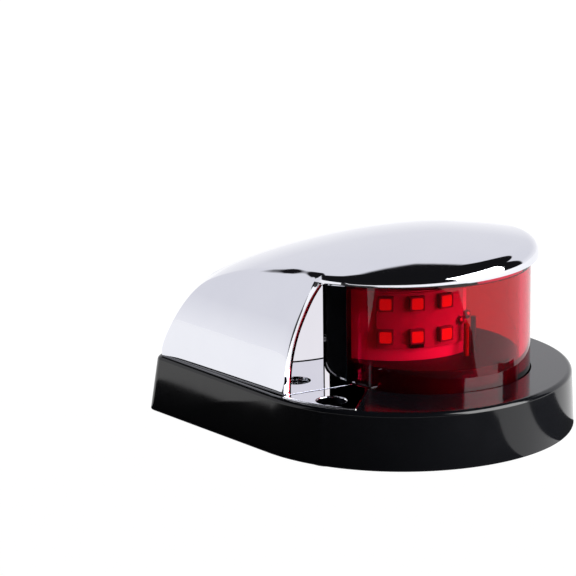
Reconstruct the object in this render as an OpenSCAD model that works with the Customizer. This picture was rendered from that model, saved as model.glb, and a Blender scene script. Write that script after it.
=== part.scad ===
// Deck-mount LED navigation side light: black plinth, chrome hood with a visor, tinted lens.
// Millimetres, +Z up. Origin: centre of the underside's bounding box. +X runs from the pointed
// tail to the round nose. The light board faces the -Y side; left is +Y, right is -Y.

/* [Plinth] */
// Length of the plinth along X
plinth_l = 105; // [100:1:112]
// Width of the plinth, twice the nose radius
plinth_w = 83.5; // [80:0.5:86]
// Height of the plinth
plinth_h = 14; // [12:0.5:18]
// Corner radius of the pointed tail, at the underside
tail_r = 3.5; // [2.5:0.1:5]
// Wall thickness of the plinth
plinth_wall = 2.6; // [2:0.1:3.2]

/* [Lens] */
// Outer diameter of the lens drum
lens_d = 49.2; // [46:0.1:50]
// Wall thickness of the lens drum
lens_wall = 2.6; // [2:0.1:3.2]
// Distance of the lens axis in front of the nose circle's centre
lens_offset = 6.5; // [5:0.1:7]

/* [Hood] */
// Height of the visor's lower edge at the lens axis
visor_z = 41.2; // [40.5:0.1:41.6]
// Rise angle of the visor's lower edge towards the nose, in degrees
visor_rise = 1.4; // [0.5:0.1:2]
// Height of the roof's ridge at its highest point
roof_z = 47.8; // [47.4:0.1:48.4]
// Radius of the roof's crown across the ridge, at its highest point
crown_r = 110; // [100:1:130]
// Shell thickness of the hood
hood_wall = 2.2; // [1.8:0.1:2.6]

/* [Light board] */
// Edge length of one square LED package
led_w = 3.5; // [2.8:0.1:3.6]
// Radius of the curved board's front face
board_r = 21; // [20:0.5:22]
// Columns of LED packages
led_columns = 3; // [2:1:3]
// Angle between two columns, in degrees
led_step = 19; // [17:0.5:20]

/* [Fixings] */
// Across-axis distance between the two deck screw holes
deck_pitch = 68.6; // [66:0.1:69]
// Diameter of a deck screw hole through the plinth's floor
deck_hole_d = 4.6; // [4:0.1:5]
// Diameter of the recess round each screw head
recess_d = 7; // [6.4:0.1:7.2]
// Across-axis distance between the two hood screws
hood_pitch = 38.6; // [38:0.1:40]

/* [Hidden] */
eps = 0.02;
far = 200;
fine = 96;

nose_r = plinth_w / 2;
nose_x = plinth_l / 2 - nose_r;
lens_x = nose_x + lens_offset;
lens_r = lens_d / 2;

// Plinth: draft on the nose, a steeper rake on the tail
nose_draft = 0.6;
tail_rake = 2.2;
tail_top_r = 3.2;
top_t = 2.5;
cavity_z = plinth_h - top_t;
gasket_t = 2;
deck_x = -0.35;
deck_tower_r = 5.6;
deck_seat_z = 6;
hood_screw_x = -11.65;
hood_tower_r = 6.4;
insert_z = 3;
head_room_r = 2.4;

// Plate and foot: both lie in a recess in the plinth's top and stand a little proud of it
foot_t = 2;
foot_proud = 0.4;
foot_top = plinth_h + foot_proud;
foot_z = foot_top - foot_t;
seam_gap = 0.5;
side_angle = asin((nose_r - tail_r) / (plinth_l - nose_r - tail_r));
seam_x = nose_x - 21.6;
seam_y = 30.9;
plate_end_x = nose_x - 4.2;
plate_fit = 0.15;

// Hood: a teardrop whose sides lean inwards, cut by a roof that is turned about a low axis
hood_foot_r = 39.2;
hood_tail_r = 2.0;
rim_x = nose_x + 1.5;
rim_r = 31.5;
// How far the bulging side has come in at each height: [height, inset]
side_bulge = [[plinth_h + eps, 0], [25, 0.9], [31.6, 3.4], [37.2, 6.4], [40.5, 8.9]];
rim_lip = 0.7;
// Bullnose between the rim and the roof's edge, which is an egg of two circles on a tilted plane
edge_tilt = 3.76;
edge_z = 43.9;
edge_back_x = 8;
edge_back_r = 26;
edge_front_x = 16;
edge_front_r = 24.8;
edge_steps = 3;
roof_axis_z = roof_z - crown_r;
// Ridge of the roof: two Bezier arcs, then an easy fall to the nose
ridge_tail = [-50.4, 13.7];
ridge_knee = [-36, 34.8];
ridge_top = [18, roof_z];
ridge_slope = 30;
ridge_steps = 8;
ridge_nose = [[28.7, roof_z - 0.3], [35.6, roof_z - 0.8], [40, roof_z - 1.6], [46, roof_z - 3.2]];
hood_boss_r = 5;
hood_boss_z = 9.6;
head_seat_z = 11.2;
wedge_x = lens_x - 27.2;
wedge_half_angle = 66;
bulkhead_t = 2;

// Lens drum and what holds it
flange_r = 27.4;
flange_t = 2;
seal_t = 1;
lens_lift = 0.8;
lens_cap_t = 3;
lens_inner_r = lens_r - lens_wall;
flange_z = cavity_z - seal_t - flange_t;
ring_t = 2;
ring_z = flange_z - ring_t;
ear_angles = [-110, -60, 60, 110];
ear_dist = 30.5;
ear_r = 3;
rib_w = 2.4;

// Inside the lens
pedestal_r = lens_inner_r - 0.3;
pedestal_top = 19;
pedestal_wall = 2;
carrier_x = lens_x - 9;
carrier_y = 6;
carrier_t = 2;
carrier_top = 36;
board_t = 0.8;
board_z = 22.2;
board_h = 13.6;
first_led = 4;
led_t = 1.6;
led_rows = [board_z + 3.1, board_z + 11.2];
window_t = 0.15;
lead_r = 0.65;
lead_angle = 57;

// ---------------------------------------------------------------- shared shapes

// Disc of thickness eps, for the corners of a hull
module disc(x, z, r) {
    translate([x, 0, z])
        cylinder(r = r, h = eps, $fn = fine);
}

// Teardrop solid between two levels, inset all round by g
module plinth_solid(g, z0, z1) {
    hull() {
        disc(nose_x, z0, nose_r - g);
        disc(-plinth_l / 2 + tail_r, z0, tail_r - min(g, tail_r - 1));
        disc(nose_x, z1 - eps, nose_r - nose_draft - g);
        disc(-plinth_l / 2 + tail_rake + tail_top_r, z1 - eps, tail_top_r - min(g, tail_top_r - 1));
    }
}

// Annulus on an axis parallel to Z
module ring(r_in, r_out, h) {
    difference() {
        cylinder(r = r_out, h = h, $fn = fine);
        translate([0, 0, -1])
            cylinder(r = r_in, h = h + 2, $fn = fine);
    }
}

// Sector prism between two azimuths, where 0 points along -Y and 90 along +X
module sector(a0, a1, r, h) {
    steps = ceil((a1 - a0) / 30);
    linear_extrude(h)
        polygon(concat([[0, 0]], [
            for (i = [0 : steps])
                let (a = a0 + (a1 - a0) * i / steps)
                    [r * sin(a), -r * cos(a)]
        ]));
}

// Curved wall between two azimuths about the board's own axis
module arc_wall(r_in, r_out, a0, a1, z0, h) {
    translate([carrier_x, carrier_y, z0])
        intersection() {
            ring(r_in, r_out, h);
            translate([0, 0, -1])
                sector(a0, a1, r_out * 2, h + 2);
        }
}

// Moves its children to the front face of the board at an azimuth and a height
module on_board(a, r, z) {
    translate([carrier_x, carrier_y, z])
        rotate([0, 0, a])
            translate([0, -r, 0])
                children();
}

module both_sides() {
    children();
    mirror([0, 1, 0])
        children();
}

// ---------------------------------------------------------------- hood shapes

// Everything above the sloping plane of the visor's lower edge, raised by lift
module above_visor(lift) {
    translate([lens_x, 0, visor_z + lift])
        rotate([0, -visor_rise, 0])
            translate([-far / 2, -far / 2, 0])
                cube([far, far, far / 2]);
}

// Disc on a plane that rises towards the nose by tilt, at height z over the lens axis
module tilted_disc(x, z, r, tilt) {
    translate([lens_x, 0, z])
        rotate([0, -tilt, 0])
            translate([x - lens_x, 0, 0])
                cylinder(r = r, h = eps, $fn = fine);
}

function tail_disc_r(g) = max(hood_tail_r - g, 0.4);

// Leaning teardrop with a bullnose that grows from the tail to the visor, inset by g
module hood_sides(g) {
    hull() {
        for (b = side_bulge)
            let (r = hood_foot_r - b[1] - g, z = b[0] - (b[1] == 0 ? g : 0)) {
                disc(nose_x, z, r);
                disc(nose_x - (r - tail_disc_r(g)) / sin(side_angle), z, tail_disc_r(g));
            }
        tilted_disc(rim_x, visor_z - 1, rim_r - g, visor_rise);
        for (i = [0 : edge_steps])
            let (
                a = 90 * i / edge_steps,
                in = 1 - cos(a),
                up = sin(a),
                z = (visor_z + rim_lip) * (1 - up) + edge_z * up,
                tilt = visor_rise * (1 - up) + edge_tilt * up
            ) {
                tilted_disc(rim_x + (edge_back_x - rim_x) * in, z, rim_r + (edge_back_r - rim_r) * in - g, tilt);
                tilted_disc(
                    edge_front_x, z,
                    (rim_r + rim_x - edge_front_x) * (1 - in) + edge_front_r * in - g, tilt
                );
            }
        // Cap over the roof's edge, which the roof then cuts
        tilted_disc(edge_back_x, edge_z + 6, edge_back_r - 6 - g, edge_tilt);
    }
}

function bezier(p, t) = p[0] * pow(1 - t, 3) + p[1] * 3 * t * pow(1 - t, 2)
    + p[2] * 3 * t * t * (1 - t) + p[3] * pow(t, 3);

// Ridge line from tail to nose, each point as [X, height]
function ridge() =
    let (
        along = [cos(ridge_slope), sin(ridge_slope)],
        low = [ridge_tail, [-47.4, 21.2], ridge_knee - along * 7.4, ridge_knee],
        high = [ridge_knee, ridge_knee + along * 10.9, [0, roof_z], ridge_top]
    )
    concat(
        [for (i = [0 : ridge_steps - 1]) bezier(low, i / ridge_steps)],
        [for (i = [0 : ridge_steps]) bezier(high, i / ridge_steps)],
        ridge_nose
    );

// Roof: the ridge line turned about an axis parallel to X far below, inset by g
module roof_solid(g) {
    line = ridge();
    last = len(line) - 1;
    translate([0, 0, roof_axis_z])
        rotate([0, 90, 0])
            rotate_extrude($fn = 240)
                polygon(concat(
                    [[0, line[0][0] + g]],
                    [for (p = line) [p[1] - roof_axis_z - g, p[0] + g * max(0, (ridge_knee[0] - p[0]) / 14)]],
                    [[0, line[last][0]]]
                ));
}

module hood_body(g) {
    intersection() {
        hood_sides(g);
        roof_solid(g);
    }
}

// Wedge-shaped space in front of the bulkhead, behind the lens
module in_front_of_wedge(shift) {
    translate([wedge_x + shift, 0, 0])
        linear_extrude(far)
            polygon([
                [0, 0],
                [-far * cos(wedge_half_angle), far * sin(wedge_half_angle)],
                [far, far],
                [far, -far],
                [-far * cos(wedge_half_angle), -far * sin(wedge_half_angle)]
            ]);
}

// Everything forward of the two seams, which are square to the sides
module forward_of_seams(shift) {
    linear_extrude(far)
        polygon([
            [seam_x + shift, -seam_y],
            [seam_x + shift + seam_y * tan(90 - side_angle), 0],
            [seam_x + shift, seam_y],
            [seam_x + shift - far * sin(side_angle), seam_y + far * cos(side_angle)],
            [far, far],
            [far, -far],
            [seam_x + shift - far * sin(side_angle), -seam_y - far * cos(side_angle)]
        ]);
}

// ---------------------------------------------------------------- nodes

module base() {
    color("#111216") {
        difference() {
            union() {
                difference() {
                    plinth_solid(0, 0, plinth_h);
                    translate([0, 0, -1])
                        plinth_solid(plinth_wall, 0, cavity_z + 1);
                }
                both_sides() {
                    intersection() {
                        plinth_solid(plinth_wall / 2, 0, plinth_h - top_t / 2);
                        translate([deck_x, deck_pitch / 2, 0])
                            cylinder(r = deck_tower_r, h = plinth_h, $fn = fine);
                    }
                    translate([hood_screw_x, hood_pitch / 2, gasket_t])
                        cylinder(r = hood_tower_r, h = cavity_z - gasket_t + 1, $fn = fine);
                }
                for (a = ear_angles)
                    translate([lens_x + ear_dist * cos(a), ear_dist * sin(a), flange_z])
                        cylinder(r = ear_r, h = cavity_z - flange_z + 1, $fn = fine);
            }
            translate([lens_x, 0, -1])
                cylinder(r = lens_r + 0.3, h = far, $fn = fine);
            translate([lens_x, 0, flange_z - 1])
                cylinder(r = flange_r + 0.3, h = flange_t + seal_t + 1, $fn = fine);
            both_sides() {
                translate([deck_x, deck_pitch / 2, 0]) {
                    translate([0, 0, -1])
                        cylinder(d = deck_hole_d, h = far, $fn = fine);
                    translate([0, 0, deck_seat_z])
                        cylinder(d = recess_d, h = far, $fn = fine);
                }
                translate([hood_screw_x, hood_pitch / 2, 0]) {
                    translate([0, 0, insert_z])
                        cylinder(r = head_room_r, h = far, $fn = fine);
                    translate([0, 0, hood_boss_z - 0.2])
                        cylinder(r = hood_boss_r + 0.15, h = far, $fn = fine);
                }
            }
            for (a = ear_angles)
                translate([lens_x + ear_dist * cos(a), ear_dist * sin(a), ring_z])
                    cylinder(r = 1.0, h = 6.5, $fn = fine);
            intersection() {
                plinth_solid(1.6, foot_z - 0.05, plinth_h + 1);
                difference() {
                    in_front_of_wedge(-bulkhead_t - 0.3);
                    forward_of_seams(0);
                }
            }
            intersection() {
                plinth_solid(0.9, foot_z - 0.05, plinth_h + 1);
                forward_of_seams(-eps);
                translate([-far + plate_end_x, -far / 2, 0])
                    cube([far, far, far]);
            }
        }
    }
}

module base_gasket() {
    color("#2b2b2d")
        difference() {
            plinth_solid(plinth_wall + 0.3, 0, gasket_t - 0.1);
            translate([lens_x, 0, -1])
                cylinder(r = 6, h = far, $fn = fine);
            both_sides() {
                translate([deck_x, deck_pitch / 2, -1])
                    cylinder(r = deck_tower_r + 0.3, h = far, $fn = fine);
            }
        }
}

// Chrome foot that carries the deck screw, beside the lens
module foot_plate() {
    difference() {
        intersection() {
            plinth_solid(0.9 + plate_fit, foot_z, foot_top + nose_draft / 2);
            forward_of_seams(seam_gap);
            translate([-far + plate_end_x - plate_fit, 0, foot_z])
                cube([far, far, foot_t]);
        }
        translate([lens_x, 0, 0])
            cylinder(r = lens_r + 0.3, h = far, $fn = fine);
        translate([deck_x, deck_pitch / 2, 0])
            cylinder(d = recess_d, h = far, $fn = fine);
    }
}

module foot_plate_left() {
    color("#d9dadf")
        foot_plate();
}

module foot_plate_right() {
    color("#d9dadf")
        mirror([0, 1, 0])
            foot_plate();
}

module hood() {
    color("#dcdde2")
        difference() {
            union() {
                // Roof, visor and leaning side walls
                difference() {
                    hood_body(0);
                    difference() {
                        hood_body(hood_wall);
                        translate([lens_x, 0, visor_z])
                            difference() {
                                cylinder(r = lens_r - 0.2, h = far, $fn = fine);
                                cylinder(r = lens_r - 0.2 - rib_w, h = far, $fn = fine);
                            }
                    }
                    // Open front, below the visor
                    difference() {
                        forward_of_seams(-foot_proud);
                        above_visor(0);
                    }
                }
                // Bulkhead behind the lens
                intersection() {
                    hood_body(hood_wall / 2);
                    translate([0, 0, foot_z])
                        in_front_of_wedge(-bulkhead_t);
                    difference() {
                        translate([-far, -far / 2, foot_z])
                            cube([far * 2, far, far]);
                        in_front_of_wedge(0);
                    }
                }
                // Foot on each side, with its screw boss
                intersection() {
                    plinth_solid(1.6 + plate_fit, foot_z, foot_top + nose_draft);
                    translate([-far, -far / 2, foot_z])
                        cube([far * 2, far, foot_t]);
                    difference() {
                        in_front_of_wedge(-bulkhead_t);
                        forward_of_seams(0);
                    }
                }
                both_sides()
                    translate([hood_screw_x, hood_pitch / 2, hood_boss_z])
                        cylinder(r = hood_boss_r, h = foot_top - hood_boss_z, $fn = fine);
            }
            // Room for the lens and its top
            difference() {
                translate([lens_x, 0, 0])
                    cylinder(r = lens_r + 0.3, h = far, $fn = fine);
                above_visor(lens_lift + seal_t);
            }
            both_sides()
                translate([hood_screw_x, hood_pitch / 2, 0]) {
                    translate([0, 0, head_seat_z])
                        cylinder(d = recess_d, h = foot_top - head_seat_z + 1, $fn = fine);
                    cylinder(r = 1.8, h = far / 10, $fn = fine);
                }
        }
}

// Pan head screw, head seated at z, shank downwards
module pan_screw(z, head_r, head_h, shank_r, shank_l, slot) {
    difference() {
        union() {
            translate([0, 0, z])
                cylinder(r = head_r, h = head_h, $fn = fine);
            translate([0, 0, z - shank_l])
                cylinder(r = shank_r, h = shank_l + eps, $fn = fine);
        }
        for (a = [0, 90])
            rotate([0, 0, a])
                translate([-slot / 2, -slot / 8, z + head_h / 2])
                    cube([slot, slot / 4, head_h]);
    }
}

module hood_screws() {
    color("#8f9298")
        both_sides()
            translate([hood_screw_x, hood_pitch / 2, 0])
                pan_screw(head_seat_z, 3.0, 2.0, 1.5, 7.4, 3.4);
}

module hood_inserts() {
    color("#b08d4a")
        both_sides()
            translate([hood_screw_x, hood_pitch / 2, insert_z])
                ring(1.55, head_room_r - 0.05, 6);
}

module lens() {
    color("#c4122a", 0.7)
        difference() {
            union() {
                translate([lens_x, 0, flange_z])
                    cylinder(r = lens_r, h = far / 4, $fn = fine);
                translate([lens_x, 0, flange_z])
                    cylinder(r = flange_r, h = flange_t, $fn = fine);
            }
            above_visor(lens_lift);
            difference() {
                translate([lens_x, 0, 0])
                    cylinder(r = lens_inner_r, h = far, $fn = fine);
                above_visor(lens_lift - lens_cap_t);
            }
        }
}

module lens_top_seal() {
    color("#1b1b1d")
        difference() {
            translate([lens_x, 0, visor_z - 3])
                ring(lens_r - 0.2 - rib_w, lens_r - 0.2, 12);
            above_visor(lens_lift + seal_t);
            difference() {
                translate([0, -far / 2, 0])
                    cube([far, far, far]);
                above_visor(lens_lift);
            }
        }
}

module lens_flange_seal() {
    color("#1b1b1d")
        translate([lens_x, 0, flange_z + flange_t])
            ring(lens_r + 0.4, flange_r, seal_t);
}

module lens_clamp_ring() {
    color("#16171a")
        translate([lens_x, 0, ring_z])
            difference() {
                union() {
                    cylinder(r = flange_r + 0.6, h = ring_t, $fn = fine);
                    for (a = ear_angles)
                        rotate([0, 0, a])
                            translate([ear_dist - ear_r * 2, -ear_r, 0])
                                cube([ear_r * 3 - 0.4, ear_r * 2, ring_t]);
                }
                translate([0, 0, -1])
                    cylinder(r = pedestal_r + 0.3, h = ring_t + 2, $fn = fine);
                for (a = ear_angles)
                    rotate([0, 0, a])
                        translate([ear_dist, 0, -1])
                            cylinder(r = 1.3, h = ring_t + 2, $fn = fine);
            }
}

module clamp_screws() {
    color("#8f9298")
        for (a = ear_angles)
            translate([lens_x + ear_dist * cos(a), ear_dist * sin(a), ring_z])
                mirror([0, 0, 1])
                    pan_screw(0, 2.2, 1.6, 0.95, 5.4, 2.4);
}

module pedestal() {
    color("#141416")
        translate([lens_x, 0, 0])
            difference() {
                translate([0, 0, ring_z])
                    cylinder(r = pedestal_r, h = pedestal_top - ring_z, $fn = fine);
                translate([0, 0, ring_z - 1])
                    cylinder(r = pedestal_r - pedestal_wall, h = pedestal_top - ring_z - 2 + 1, $fn = fine);
                on_pedestal_leads();
                for (p = carrier_bosses)
                    translate([p[0], p[1], 0])
                        cylinder(r = 1.2, h = far, $fn = fine);
            }
}

// Screw positions under the carrier, from the lens axis
carrier_bosses = [[-9, -9.5], [3, -4]];

// Holes that the two leads pass down through, from the lens axis
module on_pedestal_leads() {
    for (i = [0, 1])
        translate([carrier_x - lens_x, carrier_y, 0])
            rotate([0, 0, lead_angle + i * 7])
                translate([0, -board_r - 1.6, 0])
                    cylinder(r = lead_r + 0.15, h = far, $fn = fine);
}

module led_carrier() {
    color("#e9e6e2")
        difference() {
            union() {
                arc_wall(board_r - board_t - carrier_t, board_r - board_t, -20, 66, pedestal_top,
                    carrier_top - pedestal_top);
                intersection() {
                    arc_wall(4, board_r - board_t, -20, 66, pedestal_top, 2.2);
                    translate([lens_x, 0, 0])
                        cylinder(r = pedestal_r - 0.4, h = far, $fn = fine);
                }
            }
            for (p = carrier_bosses)
                translate([lens_x + p[0], p[1], 0])
                    cylinder(r = 0.8, h = pedestal_top + 1.8, $fn = fine);
        }
}

module carrier_screws() {
    color("#8f9298")
        for (p = carrier_bosses)
            translate([lens_x + p[0], p[1], pedestal_top - 2])
                mirror([0, 0, 1])
                    pan_screw(0, 2, 1.4, 0.75, 3.6, 2.2);
}

module circuit_board() {
    color("#d8d2c8")
        arc_wall(board_r - board_t, board_r, first_led - 6.5, first_led + 2 * led_step + 17, board_z, board_h);
}

module led_packages() {
    color("#efe3c8")
        for (i = [0 : led_columns - 1])
            for (z = led_rows)
                on_board(first_led + i * led_step, board_r, z)
                    difference() {
                        translate([-led_w / 2, -led_t + 0.12, -led_w / 2])
                            cube([led_w, led_t, led_w]);
                        ring_depth = led_t;
                        translate([0, 0.12, 0])
                            rotate([90, 0, 0])
                                translate([0, 0, ring_depth - 0.3])
                                    cylinder(r = led_w * 0.38, h = 1, $fn = fine);
                        translate([0, board_r, -led_w])
                            cylinder(r = board_r, h = led_w * 2, $fn = 240);
                    }
}

module led_windows() {
    color("#f3e27a")
        for (i = [0 : led_columns - 1])
            for (z = led_rows)
                on_board(first_led + i * led_step, board_r, z)
                    translate([0, 0.12, 0])
                        rotate([90, 0, 0])
                            translate([0, 0, led_t - 0.3])
                                cylinder(r = led_w * 0.38, h = 0.3 - window_t / 2, $fn = fine);
}

module board_resistor() {
    color("#191919")
        on_board(first_led + led_step, board_r, board_z + 0.2)
            difference() {
                translate([-1.7, -0.55, 0])
                    cube([3.4, 0.7, 1]);
                translate([0, board_r, -1])
                    cylinder(r = board_r, h = 4, $fn = 240);
            }
}

module solder_joints() {
    color("#b9bcc2")
        for (i = [0, 1])
            on_board(lead_angle + i * 7 - 2, board_r, board_z + 5.4 + i)
                difference() {
                    scale(1.15)
                        sphere(r = 1, $fn = 32);
                    translate([0, board_r, -2])
                        cylinder(r = board_r, h = 4, $fn = 240);
                }
}

// Lead from the board's edge down through the pedestal
module lead(i) {
    on_board(lead_angle + i * 7, board_r + 1.6, ring_z + 1)
        cylinder(r = lead_r, h = board_z + 3.9 + i - ring_z, $fn = 32);
}

module lead_red() {
    color("#a5121c")
        lead(0);
}

module lead_black() {
    color("#1a1a1a")
        lead(1);
}

// Black screen round the rear of the lens, which ends the light's sector
module light_shield() {
    color("#0d0d0e")
        translate([lens_x, 0, pedestal_top])
            intersection() {
                ring(pedestal_r - 1, pedestal_r, 18.4 - 0.6);
                translate([0, 0, -1])
                    sector(180, 303, far / 4, far / 4);
            }
}

module cable_grommet() {
    color("#1d1d1f")
        translate([lens_x, 0, 0])
            rotate_extrude($fn = fine)
                polygon([
                    [3, 0], [5.8, 0], [5.8, gasket_t], [7.4, gasket_t], [7.4, 3.6], [5, 4.6], [3, 4.6]
                ]);
}

base();
base_gasket();
foot_plate_left();
foot_plate_right();
hood();
hood_screws();
hood_inserts();
lens();
lens_top_seal();
lens_flange_seal();
lens_clamp_ring();
clamp_screws();
pedestal();
led_carrier();
carrier_screws();
circuit_board();
led_packages();
led_windows();
board_resistor();
solder_joints();
lead_red();
lead_black();
light_shield();
cable_grommet();
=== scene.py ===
"""Navigation side light for a small boat: black plinth, chrome hood with a visor, red lens.

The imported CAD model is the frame. The pieces that are seen are modelled here round it, in metres,
and every CAD node that stays gets a finish of its own.
"""

import logging
import math
from collections.abc import Callable, Sequence
from dataclasses import dataclass, field
from enum import Enum

import bmesh
import bpy
import numpy as np
from mathutils import Matrix, Vector


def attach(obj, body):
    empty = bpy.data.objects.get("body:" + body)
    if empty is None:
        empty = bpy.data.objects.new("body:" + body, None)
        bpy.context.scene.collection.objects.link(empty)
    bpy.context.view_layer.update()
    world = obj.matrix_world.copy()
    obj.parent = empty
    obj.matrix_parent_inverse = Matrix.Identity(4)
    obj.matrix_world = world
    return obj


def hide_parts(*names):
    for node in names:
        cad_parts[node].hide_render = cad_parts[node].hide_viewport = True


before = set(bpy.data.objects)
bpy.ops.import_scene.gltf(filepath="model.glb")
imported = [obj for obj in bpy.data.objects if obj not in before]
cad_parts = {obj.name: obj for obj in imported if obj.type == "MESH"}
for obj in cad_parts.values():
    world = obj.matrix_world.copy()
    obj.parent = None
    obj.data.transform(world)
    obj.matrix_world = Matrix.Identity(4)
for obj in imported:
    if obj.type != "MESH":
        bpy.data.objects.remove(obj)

LOG = logging.getLogger("navigation_light")
MM = 0.001
BODY = "root"


class Side(Enum):
    """Port and starboard halves of the light, seen from its tail."""

    LEFT = 1
    RIGHT = -1


class Solver(Enum):
    """What a cutter does to the piece it meets."""

    CUT = "DIFFERENCE"
    ADD = "UNION"


# ---------------------------------------------------------------- modelling steps


class Bench:
    """The modelling operators, so that each piece reads as the steps that shape it. Sizes in mm."""

    @staticmethod
    def clear() -> None:
        """Leaves edit mode and deselects every object."""
        if bpy.context.object and bpy.context.object.mode != "OBJECT":
            bpy.ops.object.mode_set(mode="OBJECT")
        bpy.ops.object.select_all(action="DESELECT")

    @staticmethod
    def hold(obj: bpy.types.Object) -> None:
        """Makes one object the active and only selected one.

        Args:
            obj: The object to hold.
        """
        Bench.clear()
        bpy.context.view_layer.objects.active = obj
        obj.select_set(True)

    @staticmethod
    def open(obj: bpy.types.Object) -> None:
        """Enters edit mode on an object with nothing selected in it.

        Args:
            obj: The mesh object to edit.
        """
        Bench.hold(obj)
        bpy.ops.object.mode_set(mode="EDIT")
        bpy.ops.mesh.select_all(action="DESELECT")

    @staticmethod
    def settle(obj: bpy.types.Object) -> bpy.types.Object:
        """Puts an object's place into its mesh.

        Args:
            obj: The object to settle.

        Returns:
            The same object, at the origin.
        """
        Bench.hold(obj)
        bpy.ops.object.transform_apply(location=True, rotation=True, scale=True)
        return obj

    @staticmethod
    def cone(name: str, low: tuple[float, float], r_low: float, r_high: float, z: tuple[float, float],
             sides: int = 96) -> bpy.types.Object:
        """Adds a closed cone or cylinder that stands on Z.

        Args:
            name: Name of the new object.
            low: X and Y of its axis.
            r_low: Radius at the bottom.
            r_high: Radius at the top.
            z: Bottom and top height.
            sides: Number of sides.

        Returns:
            The new object.
        """
        Bench.clear()
        bpy.ops.mesh.primitive_cone_add(
            vertices=sides, radius1=r_low * MM, radius2=r_high * MM, depth=(z[1] - z[0]) * MM,
            end_fill_type="NGON", location=(low[0] * MM, low[1] * MM, (z[0] + z[1]) / 2 * MM))
        obj = bpy.context.object
        obj.name = name
        return Bench.settle(obj)

    @staticmethod
    def box(name: str, centre: Sequence[float], size: Sequence[float]) -> bpy.types.Object:
        """Adds a block.

        Args:
            name: Name of the new object.
            centre: Its centre.
            size: Its lengths along X, Y and Z.

        Returns:
            The new object.
        """
        Bench.clear()
        bpy.ops.mesh.primitive_cube_add(size=1, location=[c * MM for c in centre],
                                        scale=[s * MM for s in size])
        obj = bpy.context.object
        obj.name = name
        return Bench.settle(obj)

    @staticmethod
    def pick(obj: bpy.types.Object, kind: str, test: Callable[[Vector, Vector], bool]) -> int:
        """Selects faces or edges of the object in edit mode by their place.

        Args:
            obj: The object in edit mode.
            kind: "face", tested by centre and normal, or "edge", tested by its two ends, in mm.
            test: Says whether to select one.

        Returns:
            How many were selected.
        """
        bpy.ops.mesh.select_mode(type=kind.upper())
        mesh = bmesh.from_edit_mesh(obj.data)
        count = 0
        if kind == "face":
            for face in mesh.faces:
                if test(face.calc_center_median() / MM, face.normal):
                    face.select_set(True)
                    count += 1
        else:
            for edge in mesh.edges:
                if test(edge.verts[0].co / MM, edge.verts[1].co / MM):
                    edge.select_set(True)
                    count += 1
        bmesh.update_edit_mesh(obj.data)
        return count

    @staticmethod
    def slice(obj: bpy.types.Object, point: Sequence[float], normal: Sequence[float]) -> None:
        """Cuts away what lies beyond a plane, on the side its normal points to, and fills the cut.

        Args:
            obj: The object to cut.
            point: A point on the plane.
            normal: The plane's normal.
        """
        Bench.open(obj)
        bpy.ops.mesh.select_all(action="SELECT")
        bpy.ops.mesh.bisect(plane_co=[c * MM for c in point], plane_no=normal, use_fill=True,
                            clear_outer=True, threshold=1e-7)
        Bench.clear()

    @staticmethod
    def combine(obj: bpy.types.Object, tool: bpy.types.Object, how: Solver) -> None:
        """Cuts or adds one solid with another and throws the tool away.

        Args:
            obj: The piece.
            tool: The cutter or the part to add.
            how: What to do.
        """
        Bench.hold(obj)
        step = obj.modifiers.new("shape", "BOOLEAN")
        step.operation = how.value
        step.solver = "EXACT"
        step.object = tool
        bpy.ops.object.modifier_apply(modifier=step.name)
        bpy.data.objects.remove(tool)

    @staticmethod
    def drill(obj: bpy.types.Object, at: tuple[float, float], radius: float, z: tuple[float, float],
              sides: int = 64) -> None:
        """Cuts an upright round hole into a piece.

        Args:
            obj: The piece.
            at: X and Y of the hole's axis.
            radius: The hole's radius.
            z: Bottom and top height of the cut.
            sides: Number of sides.
        """
        Bench.combine(obj, Bench.cone("drill", at, radius, radius, z, sides), Solver.CUT)

    @staticmethod
    def round_edges(obj: bpy.types.Object, width: float, steps: int = 3, angle: float = 40,
                    flat_faces: bool = True) -> None:
        """Rounds the sharp edges of a piece and smooths its faces.

        Args:
            obj: The piece.
            width: Width of the rounding.
            steps: Facets across it.
            angle: Edges sharper than this are rounded, in degrees.
            flat_faces: Whether large faces keep their own normals.
        """
        Bench.hold(obj)
        step = obj.modifiers.new("edges", "BEVEL")
        step.width = width * MM
        step.segments = steps
        step.limit_method = "ANGLE"
        step.angle_limit = math.radians(angle)
        step.use_clamp_overlap = True
        step.miter_outer = "MITER_ARC"
        bpy.ops.object.modifier_apply(modifier=step.name)
        Bench.smooth(obj, flat_faces=flat_faces)

    @staticmethod
    def clean(obj: bpy.types.Object, gap: float = 0.002) -> None:
        """Merges doubled points and joins coplanar faces after a cut.

        Args:
            obj: The piece.
            gap: Points closer than this become one.
        """
        Bench.open(obj)
        bpy.ops.mesh.select_all(action="SELECT")
        bpy.ops.mesh.remove_doubles(threshold=gap * MM)
        bpy.ops.mesh.dissolve_limited(angle_limit=math.radians(0.3))
        bpy.ops.mesh.normals_make_consistent(inside=False)
        Bench.clear()

    @staticmethod
    def smooth(obj: bpy.types.Object, angle: float = 32, flat_faces: bool = True) -> None:
        """Smooths a piece's shading up to an angle.

        Args:
            obj: The piece.
            angle: Edges sharper than this stay crisp, in degrees.
            flat_faces: Whether large faces keep their own normals where they meet a rounding.
        """
        Bench.hold(obj)
        bpy.ops.object.shade_smooth_by_angle(angle=math.radians(angle))
        if flat_faces:
            step = obj.modifiers.new("shading", "WEIGHTED_NORMAL")
            step.keep_sharp = True
            bpy.ops.object.modifier_apply(modifier=step.name)
        Bench.clear()

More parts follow.
